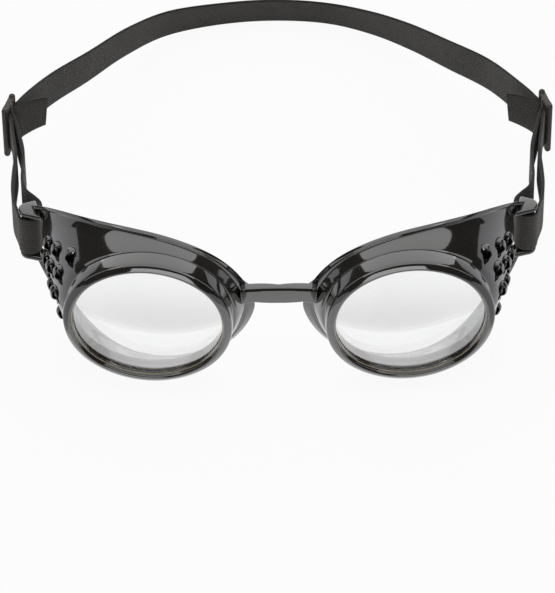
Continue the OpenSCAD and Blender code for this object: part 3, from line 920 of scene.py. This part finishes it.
def make_moulding(context):
    """The cups with their vents, ears and posts, and the bridge between them, as one mesh."""
    shape = Shape(context.scene.goggles_moulding, context.scene.goggles_strap)
    tones = context.scene.goggles_finishes
    gloss = gloss_plastic("Moulding gloss", tones.moulding, tones.dust, seam_x=0.0445)
    rows = cup_rows(shape)
    rows[..., 0] += shape.lens_x
    cup = loft("moulding", rows)
    for ear in ears(shape):
        boolean(cup, ear, "UNION")
    hoods, *cuts = vent_pieces(shape, context.scene.goggles_vents, gloss)
    boolean(cup, hoods, "UNION")
    for cut in (*cuts, strap_slot(shape)):
        boolean(cup, cut, "DIFFERENCE")
    boolean(cup, post(shape), "UNION")
    other = mirrored(cup, "moulding_left")
    arch = bridge(shape)
    boolean(arch, cup, "UNION")
    boolean(arch, other, "UNION")
    arch.name = arch.data.name = "moulding"
    smooth(dress(arch, gloss), 34)
    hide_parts("frame")
    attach(arch, "goggles")


def make_bezels(context):
    """Two oval rings, each with a rounded front and a collar that snaps over a cup's neck."""
    shape = Shape(context.scene.goggles_moulding, context.scene.goggles_strap)
    tones = context.scene.goggles_finishes
    gloss = gloss_plastic("Bezel gloss", tones.moulding, tones.dust, roughness=0.06)
    front, r, bore, snap = shape.bezel_front, shape.window_r, shape.collar_bore, shape.snap_y
    section = [
        (r, 0, 0.15), (r, 1.5 - front, 0.3), (r + 0.2, 0.75 - front, 0.3),
        (r + 0.5, 0.25 - front, 0.3), (r + 0.95, -front, 0.3), (r + 1.35, 0.08 - front, 0.3),
        (r + 2.6, 0.85 - front, 0.7), (r + 3.05, 1.45 - front, 0.7),
        (shape.bezel_r, 2.4 - front, 0.7),
        (shape.bezel_r, shape.collar_depth, 0.3), (bore, shape.collar_depth, 0.3),
        (bore, snap + 0.7, 0), (bore + shape.snap_h, snap, 0.1), (bore, snap - 0.7, 0),
        (bore, 0, 0.1),
    ]
    deg = np.arange(320) * 360.0 / 320
    rows = np.stack([shape.ring(deg, p[0], p[1]) for p in section], 1)
    rows = rounded(rows, [p[2] for p in section])
    rows[..., 0] += shape.lens_x
    right = loft("bezel_ring_right", rows)
    left = mirrored(right, "bezel_ring_left")
    for piece, node in ((right, "bezel_right"), (left, "bezel_left")):
        smooth(dress(piece, gloss), 50)
        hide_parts(node)
        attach(piece, "goggles")


def make_lenses(context):
    """Two clear lenses, each with a thin amber ring at the window's edge, a painted highlight for
    the light that the bezel's inner lip reflects.
    """
    shape = Shape(context.scene.goggles_moulding, context.scene.goggles_strap)
    glass = lens_glass("Lens clear", context.scene.goggles_finishes.lens, shape)
    r = min(shape.window_r + shape.lens_lap, shape.collar_bore - shape.fit_gap)
    deg = np.arange(256) * 360.0 / 256
    section = [(r - 0.2, 0), (r, 0.2), (r, shape.lens_t - 0.2), (r - 0.2, shape.lens_t)]
    rows = np.stack([shape.ring(deg, q, y) for q, y in section], 0)
    rows[..., 0] += shape.lens_x
    right = loft("lens_right_clear", rows, closed=False, material=glass)
    # Painted highlight: a thin amber ring on the bezel's inner lip, where it reflects a light.
    glint_r, glint_y, glint_half = shape.window_r + 0.05, -1.15, 0.2
    line = [
        shape.ring(deg, glint_r + glint_half * math.sin(a), glint_y + glint_half * math.cos(a))
        for a in np.radians(np.arange(8) * 45.0)
    ]
    rows = np.stack(line, 1)
    rows[..., 0] += shape.lens_x
    edge = slider_plastic("Lens edge", (0.36, 0.29, 0.20), (0.5, 0.45, 0.36))
    joined(right, loft("lens_edge", rows, material=edge))
    left = mirrored(right, "lens_left_clear")
    for piece, node in ((right, "lens_right"), (left, "lens_left")):
        smooth(piece, 30)
        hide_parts(node)
        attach(piece, "goggles")


# ---------- the strap


class Route:
    """The elastic as one strip: its points, and where it is cut into pieces."""

    # Points of the side loops, right of the post and behind it, as in the part's source.
    outer_run = [[7.7, 49.5], [6.2, 36.5], [6.4, 24.5], [6.3, 15.3], [5.5, 8]]
    inner_run = [[-3.3, 7], [-1.2, 10.3], [1.5, 13.9], [3, 19], [3.4, 27], [3.6, 37.5], [5.7, 49.5]]
    # Points of the back band, behind the sliders: x, y, share of the drop to the ground, lean.
    back_route = [
        [-88.3, 7.6, 0.03, 2], [-85.7, 13, 0.1, 3], [-80.5, 22.4, 0.22, 5], [-67, 41.5, 0.5, 8],
        [-53.5, 60, 0.72, 12], [-39.5, 74, 0.92, 18], [-22, 80.9, 1, 23], [0, 83.2, 1, 24],
        [20, 80.7, 1, 24], [34, 74.3, 0.96, 20], [47.5, 63, 0.8, 14], [61, 48.5, 0.6, 9],
        [75, 32.3, 0.36, 6], [84.4, 15.2, 0.12, 3], [88.3, 7.6, 0.03, 2],
    ]
    front_lead = [24.0, 30.0]
    back_lead = [6.0, 34.0]
    bend_steps = 3

    def __init__(self, shape):
        self.s = shape
        self.bar_step = shape.bar_r + shape.mid_r + 2 * shape.strap_t + 3 * shape.weave_gap + 0.02
        self.bar_pitch = math.sqrt(self.bar_step**2 - shape.mid_in**2)
        self.bend_end = 90 + math.degrees(
            math.atan2(shape.mid_in, self.bar_pitch)
            + math.acos((self.end_bend(0) + self.mid_bend(0)) / self.bar_step)
        )
        tail = self.tail()
        self.side_route = (
            self.weave(0, 1) + self.outer_run + self.around_post() + self.inner_run
            + self.weave(1, -1) + tail
        )
        self.side_n = len(self.side_route) - len(tail)
        self.left = self.side_points(-1)[::-1]
        self.right = self.side_points(1)
        self.back = [self.back_point(p) for p in self.back_route]
        self.points = np.array(self.left + self.back + self.right, float)
        self.cut_tail = len(tail)
        self.cut_side = len(self.left) - 1
        self.cut_back = len(self.left) + len(self.back)
        self.last = len(self.points) - 1

    def in_slider(self, x, y):
        turn = math.radians(self.s.slider_turn)
        c, s = math.cos(turn), math.sin(turn)
        return [self.s.slider_out + x * c - y * s, self.s.slider_back + x * s + y * c]

    def end_bend(self, layer):
        s = self.s
        return s.bar_r + s.weave_gap + s.strap_t / 2 + layer * (s.strap_t + s.weave_gap)

    def mid_bend(self, layer):
        s = self.s
        return s.mid_r + s.weave_gap + s.strap_t / 2 + (1 - layer) * (s.strap_t + s.weave_gap)

    def end_turn(self, layer, side):
        start = 180 - (self.back_lead if side > 0 else self.front_lead)[layer]
        r, made = self.end_bend(layer), []
        for k in range(self.bend_steps + 1):
            a = math.radians(start + (self.bend_end - start) * k / self.bend_steps)
            made.append(self.in_slider(r * math.cos(a), side * (self.bar_pitch - r * math.sin(a))))
        return made

    def mid_turn(self, layer, side):
        r, made = self.mid_bend(layer), []
        for k in range(-self.bend_steps, self.bend_steps + 1):
            a = math.radians((180 - self.bend_end) * k / self.bend_steps)
            made.append(self.in_slider(r * math.cos(a) - self.s.mid_in, -side * r * math.sin(a)))
        return made

    def weave(self, layer, side):
        return (
            self.end_turn(layer, side) + self.mid_turn(layer, side)
            + self.end_turn(layer, -side)[::-1]
        )

    def around_post(self):
        r = self.s.post_r + self.s.strap_gap + self.s.strap_t / 2
        return [[r * math.cos(math.radians(k * 22.5)), -r * math.sin(math.radians(k * 22.5))]
                for k in range(9)]

    def tail(self):
        x, y = self.end_turn(1, 1)[0]
        made = []
        for k in range(1, self.s.tail_n + 1):
            a = math.radians(self.s.slider_turn + self.back_lead[1] + 2 * k)
            d = self.s.tail_l * k / self.s.tail_n
            made.append([x - d * math.sin(a), y + d * math.cos(a)])
        return made

    def side_z(self, b):
        s = self.s
        level = s.slider_back - self.bar_pitch - s.level_l
        share = min(1, max(0, b - s.post_r) / (level - s.post_r))
        return s.strap_z + (s.slider_z - s.strap_z) * share

    def side_points(self, side):
        s, made = self.s, []
        for i, (x, y) in enumerate(self.side_route):
            lean = -s.tail_lean * max(0, i - self.side_n + 1) / s.tail_n
            made.append([side * (s.lens_x + s.post_x + x), s.post_y + y, self.side_z(y), lean])
        return made

    def back_point(self, p):
        s = self.s
        lean = math.radians(p[3])
        rest = s.floor + s.rest_gap
        rest = rest + s.strap_w / 2 * math.cos(lean) + s.strap_t / 2 * abs(math.sin(lean))
        return [p[0], s.post_y + s.slider_back + p[1], (1 - p[2]) * s.slider_z + p[2] * rest, p[3]]

    def strip(self, steps):
        """Points along the whole strip, steps between two of the route's."""
        p = self.points
        gaps = np.linalg.norm(np.diff(p[:, :3], axis=0), axis=1)
        slopes = np.zeros_like(p)
        for i in range(len(p)):
            if i == 0:
                slopes[i] = (p[1] - p[0]) / gaps[0]
            elif i == len(p) - 1:
                slopes[i] = (p[i] - p[i - 1]) / gaps[i - 1]
            else:
                a, b = gaps[i - 1], gaps[i]
                slopes[i] = ((p[i + 1] - p[i]) / b * a + (p[i] - p[i - 1]) / a * b) / (a + b)
        made = []
        for i in range(len(p) - 1):
            for k in range(steps):
                u, v, l = k / steps, 1 - k / steps, gaps[i]
                made.append(
                    p[i] * v * v * (1 + 2 * u) + p[i + 1] * u * u * (1 + 2 * v)
                    + l * u * v * (v * slopes[i] - u * slopes[i + 1])
                )
        made.append(p[-1])
        return np.array(made)


def strap_section(width, thickness, columns=18):
    """A flat strip's section with round edges, as [across, through]."""
    half, r = width / 2, thickness / 2
    top = [[x, r] for x in np.linspace(-(half - r), half - r, columns)]
    right = arc(half - r, 0, r, 90, -90, 7)[1:-1]
    low = [[-x, -r] for x, _ in top]
    left = arc(-(half - r), 0, r, 270, 90, 7)[1:-1]
    return np.array(top + right + low + left)


def strap_piece(name, strip, first, last, section, material):
    """The strip from one of its points to another, with its length and width as its UV map."""
    flat = np.diff(strip[:, :2], axis=0)
    ahead = np.vstack([flat[:1], flat[:-1] + flat[1:], flat[-1:]])
    ahead /= np.linalg.norm(ahead, axis=1, keepdims=True)
    steps = np.linalg.norm(np.diff(strip[:, :3], axis=0), axis=1)
    travelled = np.concatenate([[0], np.cumsum(steps)])
    rows = []
    for i in range(first, last + 1):
        side = np.array([ahead[i, 1], -ahead[i, 0], 0])
        lean = math.radians(strip[i, 3])
        up = side * math.sin(lean) + np.array([0, 0, math.cos(lean)])
        over = side * math.cos(lean) - np.array([0, 0, math.sin(lean)])
        rows.append(strip[i, :3] + section[:, :1] * up + section[:, 1:] * over)
    rows = np.array(rows)
    n = len(section)
    verts = rows.reshape(-1, 3)
    faces = outward(verts, grid_faces(len(rows), n, False))
    made = add_mesh(name, verts, faces, material)
    layer = made.data.uv_layers.new(name="UVMap")
    u = np.repeat(travelled[first:last + 1], n) * MM
    v = np.tile(section[:, 0], len(rows)) * MM
    where = np.empty(len(made.data.loops), int)
    made.data.loops.foreach_get("vertex_index", where)
    layer.data.foreach_set("uv", np.stack([u[where], v[where]], -1).ravel())
    return smooth(made, 60)


def make_strap(context):
    """The elastic in six pieces."""
    strap = context.scene.goggles_strap
    shape = Shape(context.scene.goggles_moulding, strap)
    tones = context.scene.goggles_finishes
    cloth = woven_elastic("Woven elastic", tones.elastic, tones.elastic_crest_highlight, strap)
    route, steps = Route(shape), 10
    strip = route.strip(steps)
    section = strap_section(shape.strap_w, shape.strap_t)
    left_end, right_end = route.cut_side + 3, route.cut_back - 2
    middle = route.cut_side + 1 + len(route.back) // 2
    pieces = [
        ("side_loop_left", ("strap_side_left", "strap_tail_left"), 0, route.cut_side),
        ("band_end_left", ("strap_back",), route.cut_side, left_end),
        ("band_left", ("strap_back",), left_end, middle),
        ("band_right", ("strap_back",), middle, right_end),
        ("band_end_right", ("strap_back",), right_end, route.cut_back),
        ("side_loop_right", ("strap_side_right", "strap_tail_right"), route.cut_back, route.last),
    ]

    for name, nodes, first, last in pieces:
        piece = strap_piece(name, strip, first * steps, last * steps, section, cloth)
        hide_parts(*nodes)
        if name.endswith("left"):
            side, mirror, slider_at, band_at = "left", -1, route.cut_side, left_end
        else:
            side, mirror, slider_at, band_at = "right", 1, route.cut_back, right_end
        if name.startswith("side_loop"):
            x = mirror * (shape.lens_x + shape.post_x + 5)
            start = np.array([x, shape.post_y + 6, -4]) * MM + SHIFT
            end = np.array([x + mirror * 3, shape.post_y + shape.slider_back - 6, -8]) * MM + SHIFT
            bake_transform(piece)
        elif name.startswith("band_end"):
            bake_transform(piece)
        else:
            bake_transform(piece)


def make_sliders(context):
    """Two sliders, each with two end bars, a thinner middle bar and two rails."""
    shape = Shape(context.scene.goggles_moulding, context.scene.goggles_strap)
    tones = context.scene.goggles_finishes
    nylon = slider_plastic("Slider nylon", tones.slider, tones.dust)
    room = shape.strap_w / 2 + shape.slot_gap
    half = room + shape.rail_t + shape.knob_h
    pitch, r, mid, mid_in = Route(shape).bar_pitch, shape.bar_r, shape.mid_r, shape.mid_in
    low_end, high_end = arc(0, -half + r, r, -90, 0, 9)[1:], arc(0, half - r, r, 0, 90, 9)[:-1]
    profile = [[0, -half], *low_end, *high_end, [0, half]]
    pieces = [lathe("bar", profile, 48, (0, y, 0), shift=False) for y in (-pitch, pitch)]
    long = room + shape.rail_t / 2
    profile = [[0, -long], [mid, -long], [mid, long], [0, long]]
    pieces.append(lathe("bar", profile, 40, (-mid_in, 0, 0), shift=False))
    waist = 1.4
    outline = [
        *arc(0, pitch, r, 0, 180, 17), [-r, waist], *arc(-mid_in, 0, mid + 0.15, 100, 260, 9),
        [-r, -waist], *arc(0, -pitch, r, 180, 360, 17),
    ]
    for side in (-1, 1):
        low = side * (room + shape.rail_t / 2) - shape.rail_t / 2
        rail = prism("rail", outline, low, low + shape.rail_t, 0.3)
        rail.data.transform(Matrix.Translation(-Vector(SHIFT)))
        pieces.append(rail)
    right = joined(*pieces)
    place = Vector((shape.lens_x + shape.post_x + shape.slider_out,
                    shape.post_y + shape.slider_back, shape.slider_z)) * MM + Vector(SHIFT)
    turn = Matrix.Rotation(math.radians(shape.slider_turn), 4, "Z")
    right.data.transform(Matrix.Translation(place) @ turn)
    right.name = right.data.name = "slider_bars_right"
    left = mirrored(right, "slider_bars_left")
    for piece, node, body in ((right, "slider_right", "adjuster_right"),
                              (left, "slider_left", "adjuster_left")):
        smooth(dress(piece, nylon), 40)
        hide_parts(node)
        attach(piece, body)


# ---------- the stage


def soft_box(name, at, look, size, level):
    """A soft light whose face is level times as bright as white paper under the whole stage."""
    data = bpy.data.lights.new(name, "AREA")
    data.shape = "RECTANGLE"
    data.size, data.size_y = size
    data.energy = level * math.pi * size[0] * size[1]
    made = bpy.data.objects.new(name, data)
    made.location = at
    made.rotation_euler = (Vector(look) - Vector(at)).to_track_quat("-Z", "Y").to_euler()
    bpy.context.collection.objects.link(made)


def add_world(context):
    """White to the camera, and a faint even fill to everything else."""
    world = bpy.data.worlds.new("White room")
    world.use_nodes = True
    nodes, links = world.node_tree.nodes, world.node_tree.links
    nodes.clear()
    out, mix = nodes.new("ShaderNodeOutputWorld"), nodes.new("ShaderNodeMixShader")
    rays = nodes.new("ShaderNodeLightPath")
    links.new(rays.outputs["Is Camera Ray"], mix.inputs[0])
    for socket, tone, strength in ((1, (0.85, 0.86, 0.88, 1), 0.05), (2, (1, 1, 1, 1), 1.0)):
        sky = nodes.new("ShaderNodeBackground")
        sky.inputs["Color"].default_value = tone
        sky.inputs["Strength"].default_value = strength
        links.new(sky.outputs[0], mix.inputs[socket])
    links.new(mix.outputs[0], out.inputs["Surface"])
    context.scene.world = world


def add_camera(context):
    """A long lens from above and in front, as the photograph was taken."""
    focal_px, frame_px, sensor = 4151.0, 593, 36.0
    lift, roll, distance = math.radians(41.2), math.radians(-0.5), 1.35
    right_px, up_px = 1.3, -23.5
    data = bpy.data.cameras.new("camera")
    data.sensor_width = sensor
    data.lens = focal_px / frame_px * sensor
    data.clip_end = 20
    camera = bpy.data.objects.new("camera", data)
    bpy.context.collection.objects.link(camera)
    look = Vector((0, math.cos(lift), -math.sin(lift)))
    up = Vector((0, math.sin(lift), math.cos(lift)))
    right = Vector((1, 0, 0))
    across, rise = right_px / focal_px * distance, up_px / focal_px * distance
    camera.location = Vector(SHIFT) - look * distance - right * across - up * rise
    turn = look.to_track_quat("-Z", "Y").to_matrix()
    camera.rotation_euler = (turn @ Matrix.Rotation(roll, 3, "Z")).to_euler()
    context.scene.camera = camera


def make_stage(context):
    """A pale sweep, five plain soft boxes, a white room and the camera."""
    paper = seamless("White sweep", context.scene.goggles_finishes.floor, 0.93)
    half, bend, back, top = 3, 1.7, 1.75, 0.45
    sweep = [
        [-half, -half, 0], [half, -half, 0], [half, bend, 0], [-half, bend, 0],
        [half, back, top], [-half, back, top],
    ]
    faces = [[0, 1, 2, 3], [3, 2, 4, 5]]
    floor = add_mesh("floor", np.array(sweep) / MM, faces, paper, shift=False)
    goggles = (0, 0, 0.03)
    soft_box("overhead", (0, -0.25, 1.0), (0, -0.25, 0), (2.0, 0.8), 1.0)
    soft_box("back", (0, 0.95, 0.95), goggles, (2.0, 1.8), 1.0)
    soft_box("front", (0, -1.7, 0.5), goggles, (1.3, 0.8), 2.0)
    soft_box("left", (-1.2, 0, 0.9), goggles, (0.4, 1.1), 0.9)
    soft_box("right", (1.2, 0, 0.9), goggles, (0.4, 1.1), 0.9)
    add_world(context)
    add_camera(context)
    context.scene.view_settings.view_transform = "Standard"


# ---------- the add-on


class GOGGLES_OT_moulding(bpy.types.Operator):
    """Makes the cups, vents, ears and bridge"""

    bl_idname = "goggles.moulding"
    bl_label = "Moulding"
    bl_options = {"REGISTER", "UNDO"}

    def execute(self, context):
        make_moulding(context)
        return {"FINISHED"}


class GOGGLES_OT_bezels(bpy.types.Operator):
    """Makes the two snap-fit bezels"""

    bl_idname = "goggles.bezels"
    bl_label = "Bezels"
    bl_options = {"REGISTER", "UNDO"}

    def execute(self, context):
        make_bezels(context)
        return {"FINISHED"}


class GOGGLES_OT_lenses(bpy.types.Operator):
    """Makes the two clear lenses"""

    bl_idname = "goggles.lenses"
    bl_label = "Lenses"
    bl_options = {"REGISTER", "UNDO"}

    def execute(self, context):
        make_lenses(context)
        return {"FINISHED"}


class GOGGLES_OT_strap(bpy.types.Operator):
    """Makes the elastic in its pieces"""

    bl_idname = "goggles.strap"
    bl_label = "Strap"
    bl_options = {"REGISTER", "UNDO"}

    def execute(self, context):
        make_strap(context)
        return {"FINISHED"}


class GOGGLES_OT_sliders(bpy.types.Operator):
    """Makes the two three-bar sliders"""

    bl_idname = "goggles.sliders"
    bl_label = "Sliders"
    bl_options = {"REGISTER", "UNDO"}

    def execute(self, context):
        make_sliders(context)
        return {"FINISHED"}


class GOGGLES_OT_stage(bpy.types.Operator):
    """Makes the floor, lights, world and camera"""

    bl_idname = "goggles.stage"
    bl_label = "Stage"
    bl_options = {"REGISTER", "UNDO"}

    def execute(self, context):
        make_stage(context)
        return {"FINISHED"}


class GOGGLES_PT_panel(bpy.types.Panel):
    """Lists the sizes, the finishes and the pieces"""

    bl_idname = "GOGGLES_PT_panel"
    bl_label = "Cup goggles"
    bl_space_type = "VIEW_3D"
    bl_region_type = "UI"
    bl_category = "Goggles"

    def draw(self, context):
        for group in GROUPS:
            box = self.layout.box()
            owner = getattr(context.scene, group)
            for key in owner.__annotations__:
                box.prop(owner, key)
        for operator in OPERATORS:
            self.layout.operator(operator.bl_idname)


GROUPS = {
    "goggles_moulding": MouldingSizes,
    "goggles_vents": VentSizes,
    "goggles_strap": StrapSizes,
    "goggles_finishes": Finishes,
}
OPERATORS = [
    GOGGLES_OT_moulding, GOGGLES_OT_bezels, GOGGLES_OT_lenses, GOGGLES_OT_strap,
    GOGGLES_OT_sliders, GOGGLES_OT_stage,
]
CLASSES = [*GROUPS.values(), *OPERATORS, GOGGLES_PT_panel]


def register():
    for item in CLASSES:
        bpy.utils.register_class(item)
    for key, group in GROUPS.items():
        setattr(bpy.types.Scene, key, PointerProperty(type=group))


def unregister():
    for key in GROUPS:
        delattr(bpy.types.Scene, key)
    for item in reversed(CLASSES):
        bpy.utils.unregister_class(item)


def main():
    register()
    bpy.ops.goggles.moulding()
    bpy.ops.goggles.bezels()
    bpy.ops.goggles.lenses()
    bpy.ops.goggles.strap()
    bpy.ops.goggles.sliders()
    bpy.ops.goggles.stage()


if __name__ == "__main__":
    main()
